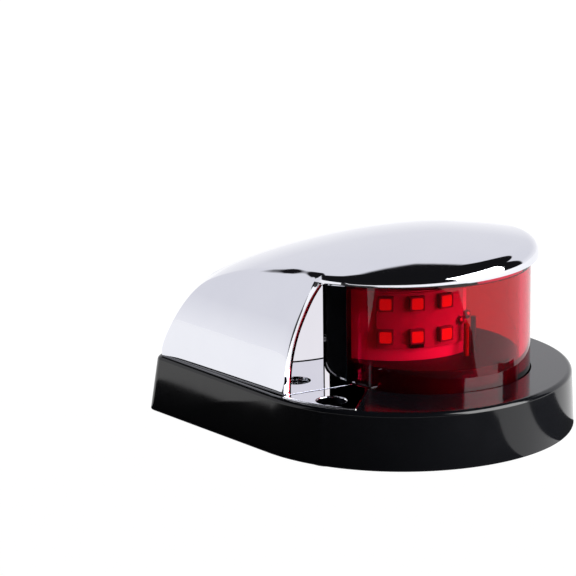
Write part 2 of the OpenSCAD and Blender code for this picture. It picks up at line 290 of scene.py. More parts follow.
    @staticmethod
    def sheet(name: str, rows: list[list[tuple[float, float, float] | None]]) -> bpy.types.Object:
        """Makes a sheet from rows of points; None leaves a gap. Shapes that no primitive is near.

        Args:
            name: Name of the new object.
            rows: Rows of points, all as long as each other.

        Returns:
            The new object.
        """
        index: dict[tuple[int, int], int] = {}
        points: list[tuple[float, float, float]] = []
        for i, row in enumerate(rows):
            for j, p in enumerate(row):
                if p is not None:
                    index[i, j] = len(points)
                    points.append(tuple(c * MM for c in p))
        faces = [
            (index[i, j], index[i + 1, j], index[i + 1, j + 1], index[i, j + 1])
            for i in range(len(rows) - 1) for j in range(len(rows[0]) - 1)
            if all(k in index for k in ((i, j), (i + 1, j), (i + 1, j + 1), (i, j + 1)))
        ]
        mesh = bpy.data.meshes.new(name)
        mesh.from_pydata(points, [], faces)
        obj = bpy.data.objects.new(name, mesh)
        bpy.context.scene.collection.objects.link(obj)
        return obj

    @staticmethod
    def spun_wall(name: str, axis: tuple[float, float], radii: tuple[float, float], z: tuple[float, float],
                  sweep: tuple[float, float], steps: int) -> bpy.types.Object:
        """Spins an upright rectangle into a curved wall.

        Args:
            name: Name of the new object.
            axis: X and Y of the spin axis.
            radii: Inner and outer radius.
            z: Bottom and top height.
            sweep: First and last azimuth in degrees, 0 along -Y and 90 along +X.
            steps: Facets along the wall.

        Returns:
            The new object.
        """
        Bench.clear()
        bpy.ops.mesh.primitive_plane_add(
            size=1, location=(axis[0] * MM, (axis[1] - sum(radii) / 2) * MM, sum(z) / 2 * MM),
            rotation=(0, math.pi / 2, 0))
        obj = bpy.context.object
        obj.name = name
        obj.scale = ((z[1] - z[0]) * MM, (radii[1] - radii[0]) * MM, 1)
        Bench.settle(obj)
        turn = Matrix.Rotation(math.radians(sweep[0]), 4, "Z")
        pivot = Matrix.Translation((axis[0] * MM, axis[1] * MM, 0))
        obj.data.transform(pivot @ turn @ pivot.inverted())
        Bench.open(obj)
        bpy.ops.mesh.select_all(action="SELECT")
        bpy.ops.mesh.spin(steps=steps, dupli=False, angle=math.radians(sweep[0] - sweep[1]),
                          use_auto_merge=False, center=(axis[0] * MM, axis[1] * MM, 0), axis=(0, 0, 1))
        bpy.ops.mesh.select_all(action="SELECT")
        bpy.ops.mesh.remove_doubles(threshold=1e-6)
        bpy.ops.mesh.normals_make_consistent(inside=False)
        Bench.clear()
        return obj


def register(obj: bpy.types.Object, finish: "Finish", slot: str, *stands_for: str) -> None:
    """Dresses a finished piece, puts it on the body and reports it.

    Args:
        obj: The piece.
        finish: Its finish.
        slot: Not used.
        *stands_for: CAD nodes that it is shown in place of.
    """
    obj.data.materials.clear()
    obj.data.materials.append(finish.material())
    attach(obj, BODY)
    if stands_for:
        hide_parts(*stands_for)
    LOG.info("%s: %d faces, %s", obj.name, len(obj.data.polygons), finish.name)


# ---------------------------------------------------------------- finishes


def linear(hexa: str) -> tuple[float, float, float, float]:
    """Turns an sRGB hex colour to linear RGBA.

    Args:
        hexa: Six hex digits with a leading #.

    Returns:
        Linear red, green, blue and alpha 1.
    """
    parts = [int(hexa[i:i + 2], 16) / 255 for i in (1, 3, 5)]
    return (*(c / 12.92 if c <= 0.04045 else ((c + 0.055) / 1.055) ** 2.4 for c in parts), 1.0)


def add_node(tree: bpy.types.NodeTree, kind: str, settings: dict | None = None,
             inputs: dict | None = None) -> bpy.types.Node:
    """Adds one shader node with its settings, values and links.

    Args:
        tree: The node tree.
        kind: Blender's node type name.
        settings: Attributes of the node.
        inputs: Socket name or index to a value, or to another node's output socket.

    Returns:
        The new node.
    """
    node = tree.nodes.new(kind)
    for key, value in (settings or {}).items():
        setattr(node, key, value)
    for key, value in (inputs or {}).items():
        if isinstance(value, bpy.types.NodeSocket):
            tree.links.new(value, node.inputs[key])
        else:
            node.inputs[key].default_value = value
    return node


@dataclass(frozen=True)
class Finish:
    """A moulded, cast or plated surface: even colour, slight mottle, fine relief in real mm.

    The mottle shifts the colour between two near shades, and the roughness by a little, as
    moulding and plating do. The relief is noise of a real grain size.
    """

    name: str
    colour: str
    shade: str
    roughness: float
    metallic: float = 0.0
    ior: float = 1.5
    mottle_mm: float = 9.0
    rough_swing: float = 0.04
    grain_mm: float = 0.8
    relief_mm: float = 0.004
    coat: float = 0.0
    transmission: float = 0.0
    glow: float = 0.0

    def material(self) -> bpy.types.Material:
        """Makes the material, or returns the one made before.

        Returns:
            The node-based material.
        """
        found = bpy.data.materials.get(self.name)
        if found:
            return found
        mat = bpy.data.materials.new(self.name)
        mat.use_nodes = True
        tree = mat.node_tree
        tree.nodes.clear()
        place = add_node(tree, "ShaderNodeTexCoord").outputs["Object"]
        mottle = add_node(tree, "ShaderNodeTexNoise", {}, {
            "Vector": place, "Scale": 1 / (self.mottle_mm * MM), "Detail": 3.0, "Roughness": 0.55})
        tint = add_node(tree, "ShaderNodeMix", {"data_type": "RGBA"}, {
            0: mottle.outputs["Fac"], 6: linear(self.colour), 7: linear(self.shade)})
        rough = add_node(tree, "ShaderNodeMapRange", {}, {
            "Value": mottle.outputs["Fac"], "From Min": 0.3, "From Max": 0.7,
            "To Min": max(0.01, self.roughness - self.rough_swing),
            "To Max": self.roughness + self.rough_swing})
        grain = add_node(tree, "ShaderNodeTexNoise", {}, {
            "Vector": place, "Scale": 1 / (self.grain_mm * MM), "Detail": 2.0})
        relief = add_node(tree, "ShaderNodeBump", {}, {
            "Height": grain.outputs["Fac"], "Distance": self.relief_mm * MM, "Strength": 1.0})
        shader = add_node(tree, "ShaderNodeBsdfPrincipled", {}, {
            "Base Color": tint.outputs[2], "Roughness": rough.outputs[0], "Metallic": self.metallic,
            "Normal": relief.outputs[0], "Coat Weight": self.coat,
            "Transmission Weight": self.transmission})
        if self.metallic < 0.5:
            shader.inputs["IOR"].default_value = self.ior
        # A painted glow: emission in the finish's own colour, which lightens it whatever light falls
        if self.glow:
            shader.inputs["Emission Color"].default_value = linear(self.colour)
            shader.inputs["Emission Strength"].default_value = self.glow
        add_node(tree, "ShaderNodeOutputMaterial", {}, {"Surface": shader.outputs[0]})
        return mat


class Finishes:
    """Every finish on the light, each from what the real one is."""

    # Bright chrome plate on a polished casting: a clear mirror with the faintest waviness
    CHROME = Finish("bright_chrome_plate_polished", "#E9EAF0", "#E1E2EA", 0.035, 1.0,
                    mottle_mm=16, rough_swing=0.012, grain_mm=6, relief_mm=0.004)
    # Gloss black ABS from a polished mould: deep black with clear, slightly soft highlights
    BLACK_ABS = Finish("black_abs_gloss_moulded", "#0B0C0F", "#101115", 0.12, ior=1.47,
                       mottle_mm=12, rough_swing=0.03, grain_mm=1.2, relief_mm=0.002)
    # Black ABS from a sparked mould: matt, so the light chamber shows no reflections
    BLACK_MATT = Finish("black_abs_sparked_moulded", "#0E0F11", "#16171A", 0.55, ior=1.54,
                        mottle_mm=5, grain_mm=0.25, relief_mm=0.01)
    # Clear red acrylic, polished mould: a hard gloss skin over a deep even tint
    RED_LENS = Finish("red_acrylic_clear_moulded", "#D80C3B", "#D00A35", 0.02, ior=1.49,
                      mottle_mm=20, rough_swing=0.008, grain_mm=5, relief_mm=0.002, transmission=1.0)
    # Neoprene seal, moulded: dark, dull and faintly grainy
    RUBBER = Finish("neoprene_moulded", "#17181A", "#202124", 0.68, ior=1.52,
                    mottle_mm=4, grain_mm=0.3, relief_mm=0.012)
    # Closed-cell foam gasket, die cut: soft dark grey with open pores
    FOAM = Finish("closed_cell_foam_cut", "#2E2F32", "#3A3B3E", 0.92, ior=1.45,
                  mottle_mm=2.2, grain_mm=0.7, relief_mm=0.12)
    # White ABS carrier, moulded: satin white that throws the light back out
    WHITE_ABS = Finish("white_abs_satin_moulded", "#F3F1EC", "#E8E5DF", 0.4, ior=1.54,
                       mottle_mm=6, grain_mm=0.4, relief_mm=0.006)
    # White solder mask on glass-fibre board: satin with the weave just showing
    BOARD = Finish("white_solder_mask_board", "#CFCBC0", "#BFBAAE", 0.42, ior=1.52,
                   mottle_mm=3, grain_mm=0.5, relief_mm=0.008)
    # Alumina LED body, fired: warm grey and matt, a dark frame round the bright pane
    CERAMIC = Finish("alumina_led_body_fired", "#8E887A", "#7C7668", 0.5, ior=1.76,
                     mottle_mm=1.5, grain_mm=0.2, relief_mm=0.004)
    # Phosphor under clear silicone, cast: deep yellow with a wet gloss, and a faint painted glow in its own
    # colour that lightens the panes
    PHOSPHOR = Finish("led_phosphor_under_silicone", "#F5DC62", "#EFD04C", 0.18, ior=1.41,
                      mottle_mm=0.8, grain_mm=0.2, relief_mm=0.003, coat=0.5, glow=0.35)
    # Tin solder, reflowed: bright grey beads with a slight frost
    SOLDER = Finish("tin_solder_reflowed", "#C9CBD0", "#AEB1B7", 0.3, 1.0,
                    mottle_mm=1.0, grain_mm=0.3, relief_mm=0.01)
    # Stainless steel screw, rolled and passivated: grey metal with a soft sheen
    STEEL = Finish("stainless_steel_passivated", "#A9ABAF", "#8E9196", 0.3, 1.0,
                   mottle_mm=1.6, grain_mm=0.3, relief_mm=0.006)
    # Black zinc plate on a steel screw: dark metal with a dull sheen, nearly lost in its recess
    BLACK_ZINC = Finish("black_zinc_plated_screw", "#2A2B2E", "#1C1D20", 0.38, 1.0,
                        mottle_mm=1.6, grain_mm=0.3, relief_mm=0.006)
    # Brass insert, turned: warm yellow metal, lightly dulled
    BRASS = Finish("brass_turned", "#C9A24E", "#AE8638", 0.32, 1.0,
                   mottle_mm=1.5, grain_mm=0.3, relief_mm=0.008)
    # Chip resistor body, glazed: small black block
    CHIP = Finish("chip_resistor_glazed", "#151515", "#202020", 0.3, ior=1.55,
                  mottle_mm=0.8, grain_mm=0.2, relief_mm=0.004)
    # PVC wire insulation, extruded: satin skin with faint drawing lines
    WIRE_RED = Finish("pvc_insulation_red_extruded", "#A8141E", "#8E1018", 0.38, ior=1.53,
                      mottle_mm=2, grain_mm=0.3, relief_mm=0.006)
    # The same insulation in black
    WIRE_BLACK = Finish("pvc_insulation_black_extruded", "#161617", "#1E1E20", 0.38, ior=1.53,
                        mottle_mm=2, grain_mm=0.3, relief_mm=0.006)


# ---------------------------------------------------------------- plan shapes shared by the pieces


@dataclass
class Plan:
    """Sizes in plan that the plinth, the foot plates and the hood share, in mm."""

    nose_x: float = 10.75
    nose_r: float = 41.75
    draft: float = 0.6
    tail_x: tuple[float, float] = (-49.0, -47.1)
    tail_r: tuple[float, float] = (3.5, 3.2)
    height: float = 14.0
    foot_top: float = 14.4
    foot_z: float = 12.4
    axis_x: float = 26.2
    half_angle: float = 39.83
    lens_x: float = 17.25
    lens_r: float = 24.6
    lens_gap: float = 0.3
    deck_screw: tuple[float, float] = (-0.35, 34.3)
    hood_screw: tuple[float, float] = (-11.65, 19.3)
    recess_r: float = 3.5

    def slab(self, name: str, inset: float, z: tuple[float, float], sides: int = 200) -> bpy.types.Object:
        """Makes a teardrop slab of the plinth's outline: two cones wrapped in their hull.

        Args:
            name: Name of the new object.
            inset: How far in from the plinth's side it lies.
            z: Bottom and top height.
            sides: Facets round the nose.

        Returns:
            The closed slab.
        """
        level = [min(max(c / self.height, 0), 1) for c in z]
        nose = [self.nose_r - self.draft * t - inset for t in level]
        tail_x = [self.tail_x[0] + (self.tail_x[1] - self.tail_x[0]) * t for t in level]
        tail = [max(self.tail_r[0] + (self.tail_r[1] - self.tail_r[0]) * t - inset, 1.0) for t in level]
        body = Bench.cone(name, (self.nose_x, 0), nose[0], nose[1], z, sides)
        tip = Bench.cone("tip", (tail_x[0], 0), tail[0], tail[1], z, 64)
        Bench.open(tip)
        Bench.pick(tip, "face", lambda c, n: n.z > 0.9)
        bpy.ops.transform.translate(value=((tail_x[1] - tail_x[0]) * MM, 0, 0))
        Bench.hold(body)
        tip.select_set(True)
        bpy.ops.object.join()
        Bench.open(body)
        bpy.ops.mesh.select_all(action="SELECT")
        bpy.ops.mesh.convex_hull(delete_unused=True, use_existing_faces=False, join_triangles=False)
        Bench.clean(body)
        return body

    @staticmethod
    def on_side(place: tuple[float, float], side: Side) -> tuple[float, float]:
        """Gives a place on one side of the light.

        Args:
            place: X and Y of the left one.
            side: Which side.

        Returns:
            X and Y there.
        """
        return place[0], side.value * place[1]

    def open_for_lens(self, obj: bpy.types.Object, z: tuple[float, float]) -> None:
        """Cuts the lens opening into a piece.

        Args:
            obj: The piece.
            z: Bottom and top height of the cut.
        """
        Bench.drill(obj, (self.lens_x, 0), self.lens_r + self.lens_gap, z, 160)

    def seam(self, side: Side, shift: float = 0.0) -> tuple[Vector, Vector]:
        """Gives a seam's upright plane, square to that side of the light.

        Args:
            side: Which side.
            shift: How far forward the plane is moved, along its normal.

        Returns:
            A point on the plane, and its normal, which points to the nose.
        """
        a = math.radians(self.half_angle)
        normal = Vector((math.sin(a), side.value * math.cos(a), 0))
        return Vector((self.axis_x, 0, 0)) + normal * shift, normal


PLAN = Plan()


@dataclass
class Plinth:
    """The black plinth: a drafted teardrop with a soft top edge, pockets, holes and a hollow."""

    top_edge: float = 1.1
    foot_edge: float = 0.35
    wall: float = 2.6
    cavity_z: float = 11.5
    tower_r: float = 5.6
    tower_flat: float = 39.8
    seat_z: float = 6.0
    hole_r: float = 2.3
    pocket_wall: float = 1.6
    pocket_margin: float = 0.9
    boss_bore_r: float = 5.15
    boss_bore_z: float = 9.4
    above: float = 20.0
    below: float = -2.0

    def build(self) -> bpy.types.Object:
        """Models the plinth.

        Returns:
            The plinth, which stands for the CAD base.
        """
        body = PLAN.slab("plinth_moulding", 0, (0, PLAN.height))
        Bench.open(body)
        Bench.pick(body, "edge", lambda a, b: min(a.z, b.z) > PLAN.height - 0.01)
        bpy.ops.mesh.bevel(offset=self.top_edge * MM, segments=5, profile=0.5, affect="EDGES")
        Bench.open(body)
        Bench.pick(body, "edge", lambda a, b: max(a.z, b.z) < 0.01)
        bpy.ops.mesh.bevel(offset=self.foot_edge * MM, segments=2, profile=0.5, affect="EDGES")
        Bench.combine(body, PLAN.slab("hollow", self.wall, (-1, self.cavity_z)), Solver.CUT)
        for side in Side:
            tower = Bench.cone("tower", PLAN.on_side(PLAN.deck_screw, side), self.tower_r, self.tower_r,
                               (0, self.cavity_z + 1))
            Bench.slice(tower, (PLAN.nose_x, side.value * self.tower_flat, 0), (0, side.value, 0))
            Bench.combine(body, tower, Solver.ADD)
        PLAN.open_for_lens(body, (self.below, self.above))
        rear = PLAN.slab("rear_pocket", self.pocket_wall, (PLAN.foot_z - 0.05, PLAN.height + 2))
        for side in Side:
            Bench.slice(rear, *PLAN.seam(side))
        Bench.combine(body, rear, Solver.CUT)
        for side in Side:
            pocket = FootPlate(side).blank("pocket", 0.0, self.pocket_margin, PLAN.height + 2)
            Bench.combine(body, pocket, Solver.CUT)
            deck_screw = PLAN.on_side(PLAN.deck_screw, side)
            Bench.drill(body, deck_screw, PLAN.recess_r, (self.seat_z, self.above))
            Bench.drill(body, deck_screw, self.hole_r, (self.below, self.above))
            Bench.drill(body, PLAN.on_side(PLAN.hood_screw, side), self.boss_bore_r,
                        (self.boss_bore_z, self.above))
        Bench.clean(body)
        Bench.smooth(body, 35)
        register(body, Finishes.BLACK_ABS, "black_abs", "base")
        return body


@dataclass
class FootPlate:
    """Bright foot beside the lens that carries one deck screw."""

    side: Side
    gap: float = 0.5
    front_x: float = 6.55
    inner_y: float = 12.0
    margin: float = 1.05
    cut_z: tuple[float, float] = (5.0, 20.0)

    def blank(self, name: str, gap: float, margin: float, top: float) -> bpy.types.Object:
        """Cuts the plate's plan shape from the teardrop.

        Args:
            name: Name of the new object.
            gap: Gap to the seam plane.
            margin: Distance from the plinth's side.
            top: Height of its top.

        Returns:
            A plain slab of the plate's outline.
        """
        slab = PLAN.slab(name, margin, (PLAN.foot_z, top))
        point, normal = PLAN.seam(self.side, gap)
        Bench.slice(slab, point, -normal)
        Bench.slice(slab, (self.front_x, 0, 0), (1, 0, 0))
        Bench.slice(slab, (0, self.side.value * self.inner_y, 0), (0, -self.side.value, 0))
        return slab

    def build(self) -> bpy.types.Object:
        """Models the plate with its hole and soft edges.

        Returns:
            The plate, which stands for the CAD foot plate of that side.
        """
        node = f"foot_plate_{self.side.name.lower()}"
        plate = self.blank(f"{node}_plated", self.gap, self.margin, PLAN.foot_top)
        PLAN.open_for_lens(plate, self.cut_z)
        Bench.drill(plate, PLAN.on_side(PLAN.deck_screw, self.side), PLAN.recess_r, self.cut_z)
        Bench.clean(plate)
        Bench.round_edges(plate, 0.3)
        register(plate, Finishes.CHROME, "chrome", node)
        return plate


# ---------------------------------------------------------------- hood


def bezier(p: Sequence[np.ndarray], t: float) -> np.ndarray:
    """Gives a point on a cubic Bezier arc.

    Args:
        p: Start, two handles and end.
        t: From 0 at the start to 1 at the end.

    Returns:
        The point.
    """
    return p[0] * (1 - t) ** 3 + p[1] * 3 * t * (1 - t) ** 2 + p[2] * 3 * t * t * (1 - t) + p[3] * t ** 3


@dataclass
class HoodForm:
    """The hood's outer surface, as columns round an upright axis that both seams pass through.

    A column climbs the leaning side, turns over a rounded edge and follows the crowned roof to
    the axis. In front of the seams there is no side, and the column starts at the visor's lip.
    Lengths are in mm and angles in degrees.
    """

    foot_r: float = 39.2
    bulge: tuple[float, float] = (0.01029, 4.08e-6)
    tail_r: float = 2.0
    rim_x: float = 12.25
    rim_r: float = 31.5
    visor_z: float = 41.2
    visor_rise: float = 1.4
    lip: float = 0.7
    crown_r: float = 110.0
    roof_z: float = 47.8
    bottom: float = 14.0
    rear_edge: float = 1.5
    visor_edge: float = 3.4
    edge_lean: float = 0.9
    edge_pull: float = 0.62
    flare_z: float = 33.0
    flare_angle: float = 16.0
    edge_angle: float = 20.0
    side_steps: int = 25
    tail_low: tuple[float, float] = (-50.4, 13.7)
    tail_handle: tuple[float, float] = (-47.4, 21.2)
    knee: tuple[float, float] = (-36.0, 34.8)
    knee_rise: float = 30.0
    knee_handles: tuple[float, float] = (7.4, 10.9)
    crest_x: float = 18.0
    nose_fall: tuple[float, float] = (0.0024, 1.7e-6)
    ridge: np.ndarray = field(init=False)

    def __post_init__(self) -> None:
        """Samples the ridge line: two Bezier arcs, then an easy fall to the nose."""
        rise = math.radians(self.knee_rise)
        slope = np.array([math.cos(rise), math.sin(rise)])
        knee, crest = np.array(self.knee), np.array([self.crest_x, self.roof_z])
        arcs = (
            (np.array(self.tail_low), np.array(self.tail_handle), knee - slope * self.knee_handles[0], knee),
            (knee, knee + slope * self.knee_handles[1], np.array([0.0, self.roof_z]), crest),
        )
        line = [bezier(arc, t) for arc in arcs for t in np.linspace(0, 1, 900)]
        for x in np.linspace(self.crest_x + 0.05, 50, 500):
            u = x - self.crest_x
            fall = self.nose_fall[0] * u * u + self.nose_fall[1] * u ** 4
            line.append(np.array([x, self.roof_z - fall]))
        self.ridge = np.array(line)

    def roof(self, x: float, y: float) -> float:
        """Gives the roof's height over a point.

        Args:
            x: Along the light.
            y: Across it.

        Returns:
            The height in mm.
        """
        low = self.roof_z - self.crown_r
        r = float(np.interp(x, self.ridge[:, 0], self.ridge[:, 1])) - low
        return low + math.sqrt(max(r * r - y * y, 0))

    def inset(self, z: float) -> float:
        """Gives how far the bulging side has come in at a height.

        Args:
            z: The height.

        Returns:
            The inset in mm.
        """
        u = max(z - PLAN.foot_top, 0)
        return self.bulge[0] * u * u + self.bulge[1] * u ** 4

    @staticmethod
    def circle_exit(d: Vector, cx: float, r: float) -> float:
        """Gives where a ray from the axis leaves a circle centred on the light's middle line.

        Args:
            d: Unit direction in plan.
            cx: X of the circle's centre.
            r: Its radius.

        Returns:
            The distance, or 0 if the ray misses.
        """
        w = PLAN.axis_x - cx
        b = w * d.x
        disc = b * b - w * w + r * r
        return -b + math.sqrt(disc) if disc > 0 else 0.0

    def side_reach(self, psi: float, z: float) -> float:
        """Gives how far from the axis the side stands at an angle and a height.

        Args:
            psi: Angle in radians, pi towards the tail.
            z: The height.

        Returns:
            The distance in mm.
        """
        d = Vector((math.cos(psi), abs(math.sin(psi))))
        alpha = math.radians(90 + PLAN.half_angle - 0.05)
        r = self.foot_r - self.inset(z)
        nose = self.circle_exit(d, PLAN.nose_x, r)
        p = Vector((PLAN.axis_x, 0)) + d * nose
        if math.atan2(p.y, p.x - PLAN.nose_x) <= alpha:
            return nose
        n = Vector((math.cos(alpha), math.sin(alpha)))
        t = (PLAN.nose_x * n.x + r - PLAN.axis_x * n.x) / d.dot(n)
        tail_x = PLAN.nose_x + (r - self.tail_r) / n.x
        p = Vector((PLAN.axis_x, 0)) + d * t - Vector((tail_x, 0))
        if p.dot(Vector((n.y, -n.x))) >= 0:
            return t
        return self.circle_exit(d, tail_x, self.tail_r)

    @staticmethod
    def ease(v: float) -> float:
        """Gives a smooth step from 0 to 1.

        Args:
            v: How far along the step.

        Returns:
            The eased share, held between 0 and 1.
        """
        v = min(max(v, 0), 1)
        return v * v * (3 - 2 * v)

    def at(self, psi: float, t: float) -> tuple[float, float]:
        """Gives the plan point at an angle and a distance from the axis.

        Args:
            psi: The angle in radians.
            t: The distance.

        Returns:
            X and Y.
        """
        return PLAN.axis_x + t * math.cos(psi), t * math.sin(psi)

    def meet(self, psi: float, path: Callable[[float], tuple[float, float]], low: float,
             high: float) -> float:
        """Finds where a rising path meets the roof, by halving.

        Args:
            psi: The column's angle.
            path: Gives distance from the axis and height at a measure along the path.
            low: A measure below the roof.
            high: A measure above it.

        Returns:
            The measure where the path meets the roof.
        """
        for _ in range(50):
            mid = (low + high) / 2
            t, z = path(mid)
            if z > self.roof(*self.at(psi, t)):
                high = mid
            else:
                low = mid
        return low

    def column(self, psi: float) -> tuple[list[tuple[float, float]], list[tuple[float, float]]]:
        """Gives one column's profile.

        Args:
            psi: The column's angle in radians.

        Returns:
            The side's points below the lip, empty in front of the seams, and the points from the
            lip to the axis, each as distance from the axis and height.
        """
        seam = math.pi - math.radians(PLAN.half_angle)
        turn = abs(math.atan2(math.sin(psi), math.cos(psi)))
        rear = turn >= seam - 1e-9
        rim = self.circle_exit(Vector((math.cos(psi), math.sin(psi))), self.rim_x, self.rim_r)
        rim_z = self.visor_z + math.tan(math.radians(self.visor_rise)) * (
            self.at(psi, rim)[0] - PLAN.lens_x)
        side: list[tuple[float, float]] = []
        if rear:
            near = self.ease(1 - (turn - seam) / math.radians(self.flare_angle))
            push = (rim - self.side_reach(turn, rim_z)) * near

            def reach(z: float) -> float:
                """Gives the side's distance, drawn out to the visor's rim near the seam.

                Args:
                    z: The height.

                Returns:
                    The distance from the axis.
                """
                flare = self.ease((z - self.flare_z) / (rim_z - self.flare_z))
                return self.side_reach(turn, z) + push * flare

            z_c = self.meet(turn, lambda z: (reach(z), z), self.bottom, 47.0)
            t_c = reach(z_c)
            at_seam = (z_c - rim_z - self.lip) / self.edge_lean
            soft = self.rear_edge + (at_seam - self.rear_edge) * self.ease(
                1 - (turn - seam) / math.radians(self.edge_angle))
            start_z = z_c - self.edge_lean * soft
            lip_z = max(start_z - self.lip, self.bottom + 0.6)
            side = [(reach(z), z) for z in np.linspace(self.bottom, lip_z, self.side_steps + 1)[:-1]]
            lip = [(reach(z), z) for z in np.linspace(lip_z, start_z, 4)]
            end_t = t_c - soft
        else:
            ahead = (seam - turn) / seam
            lean = self.side_reach(seam, rim_z + self.lip + 0.5) - self.side_reach(seam, rim_z + self.lip)
            upright = self.ease(ahead / 0.22)
            start_z = rim_z + self.lip
            lip = [(rim, z) for z in np.linspace(rim_z, start_z, 4)]
            lean *= 1 - upright
            climb = self.meet(psi, lambda k: (rim + lean * k, start_z + 0.5 * k), 0.0, 20.0)
            t_c, z_c = rim + lean * climb, start_z + 0.5 * climb
            first = max((z_c - start_z) / self.edge_lean, 1.0)
            end_t = t_c - (first + (self.visor_edge - first) * self.ease(ahead / 0.25))
        start, corner = np.array(lip[-1]), np.array((t_c, z_c))
        end = np.array((end_t, self.roof(*self.at(psi, end_t))))
        step = 0.05
        rise = (self.roof(*self.at(psi, end_t + step)) - end[1]) / step
        out = end + np.array((1, rise)) * (t_c - end_t) * self.edge_pull
        up = start + (corner - start) * self.edge_pull
        edge = [tuple(bezier((start, up, out, end), u)) for u in np.linspace(0, 1, 10)[1:]]
        top = [(end_t * (1 - v), self.roof(*self.at(psi, end_t * (1 - v))))
               for v in np.linspace(0, 0.995, 44)[1:]]
        return side, lip + edge + top

    def height(self, x: float, y: float) -> float:
        """Gives the height of the hood's outside over a point behind the seams.

        Args:
            x: Along the light.
            y: Across it.

        Returns:
            The height in mm.
        """
        psi = math.atan2(y, x - PLAN.axis_x)
        side, upper = self.column(psi)
        line = sorted(side + upper)
        return float(np.interp(math.hypot(x - PLAN.axis_x, y), [p[0] for p in line], [p[1] for p in line]))


FORM = HoodForm()


@dataclass
class HoodShell:
    """The chrome shell: sides, roof and visor in one wall of even thickness."""

    wall: float = 2.2
    rear_columns: int = 64
    visor_columns: int = 150

    def angles(self) -> list[float]:
        """Gives the column angles once round, closest together at the tail.

        Returns:
            Angles in radians, from one seam over the nose to the other and round the tail.
        """
        half = math.radians(PLAN.half_angle)
        seam = math.pi - half
        front = [seam * (1 - 2 * i / self.visor_columns) for i in range(self.visor_columns + 1)]
        tail = []
        for i in range(1, 2 * self.rear_columns):
            u = i / self.rear_columns - 1
            tail.append(-math.pi + half * -math.copysign(abs(u) ** 1.6, u))
        return front + tail

    def build(self) -> bpy.types.Object:
        """Models the shell.

        Returns:
            The shell, one of the pieces that stand for the CAD hood.
        """
        columns = []
        angles = self.angles()
        for psi in angles + angles[:1]:
            side, upper = FORM.column(psi)
            lower = [(*FORM.at(psi, t), z) for t, z in side] or [None] * FORM.side_steps
            columns.append(lower + [(*FORM.at(psi, t), z) for t, z in upper])
        shell = Bench.sheet("hood_shell", columns)
        Bench.open(shell)
        bpy.ops.mesh.select_all(action="SELECT")
        bpy.ops.mesh.remove_doubles(threshold=1e-6)
        bpy.ops.mesh.select_all(action="DESELECT")
        Bench.pick(shell, "edge", lambda a, b: max(
            math.hypot(p.x - PLAN.axis_x, p.y) for p in (a, b)) < 0.6)
        bpy.ops.mesh.merge(type="CENTER")
        bpy.ops.mesh.select_all(action="SELECT")
        bpy.ops.mesh.normals_make_consistent(inside=False)
        Bench.clear()
        if sum(f.normal.z for f in shell.data.polygons) < 0:
            shell.data.flip_normals()
        Bench.hold(shell)
        wall = shell.modifiers.new("wall", "SOLIDIFY")
        wall.thickness = self.wall * MM
        wall.offset = -1
        wall.use_even_offset = False
        bpy.ops.object.modifier_apply(modifier=wall.name)
        Bench.round_edges(shell, 0.28, 2, 55, flat_faces=False)
        register(shell, Finishes.CHROME, "chrome", "hood")
        return shell


@dataclass
class HoodBulkhead:
    """The folded wall that closes the hood behind the lens."""

    apex_x: float = -8.75
    half_angle: float = 66.0
    length: float = 40.0
    thickness: float = 2.0
    clearance: float = 1.5
    outward: tuple[float, float] = (-0.64, 0.77)
    roof_gap: float = 0.5
    root: float = 0.6

    def build(self) -> bpy.types.Object:
        """Models the wall as one fold with a curved top that follows the shell's inside.

        Returns:
            The bulkhead, one of the pieces that stand for the CAD hood.
        """
        a = math.radians(self.half_angle)
        spread = []
        for w in np.linspace(0, self.length, 400):
            x, y = self.apex_x - w * math.cos(a), w * math.sin(a)
            top = FORM.height(x + self.outward[0] * self.clearance,
                              y + self.outward[1] * self.clearance) - self.roof_gap
            if top < PLAN.foot_top + 1:
                break
            spread.append((x, y, top))
        spread = spread[::4] + [spread[-1]]
        path = [(x, -y, z) for x, y, z in reversed(spread[1:])] + spread
        low = PLAN.foot_top - self.root
        rows = [[(x, y, low + (z - low) * v) for v in np.linspace(0, 1, 14)] for x, y, z in path]
        wall = Bench.sheet("hood_bulkhead", rows)
        Bench.open(wall)
        bpy.ops.mesh.select_all(action="SELECT")
        bpy.ops.mesh.normals_make_consistent(inside=False)
        Bench.clear()
        if sum(f.normal.x for f in wall.data.polygons) < 0:
            wall.data.flip_normals()
        Bench.hold(wall)
        step = wall.modifiers.new("wall", "SOLIDIFY")
        step.thickness = self.thickness * MM
        step.offset = -1
        bpy.ops.object.modifier_apply(modifier=step.name)
        Bench.smooth(wall, 30)
        register(wall, Finishes.CHROME, "chrome", "hood")
        return wall


@dataclass
class HoodFoot:
    """The hood's foot: lies in the plinth behind the seams, with a recess for each hood screw."""

    margin: float = 2.7
    boss_r: float = 5.0
    boss_z: float = 9.6
    seat_z: float = 11.2
    hole_r: float = 1.8
    cut_z: tuple[float, float] = (5.0, 20.0)

    def build(self) -> bpy.types.Object:
        """Models the foot.

        Returns:
            The foot, one of the pieces that stand for the CAD hood.
        """
        foot = PLAN.slab("hood_foot", self.margin, (PLAN.foot_z, PLAN.foot_top))
        for side in Side:
            Bench.slice(foot, *PLAN.seam(side))
        PLAN.open_for_lens(foot, self.cut_z)
        for side in Side:
            screw = PLAN.on_side(PLAN.hood_screw, side)
            boss = Bench.cone("boss", screw, self.boss_r, self.boss_r, (self.boss_z, PLAN.foot_z + 0.5), 64)
            Bench.combine(foot, boss, Solver.ADD)
            Bench.drill(foot, screw, PLAN.recess_r, (self.seat_z, self.cut_z[1]))
            Bench.drill(foot, screw, self.hole_r, self.cut_z, 48)
        Bench.clean(foot)
        Bench.round_edges(foot, 0.3)
        register(foot, Finishes.CHROME, "chrome", "hood")
        return foot


# ---------------------------------------------------------------- lens and what is in it


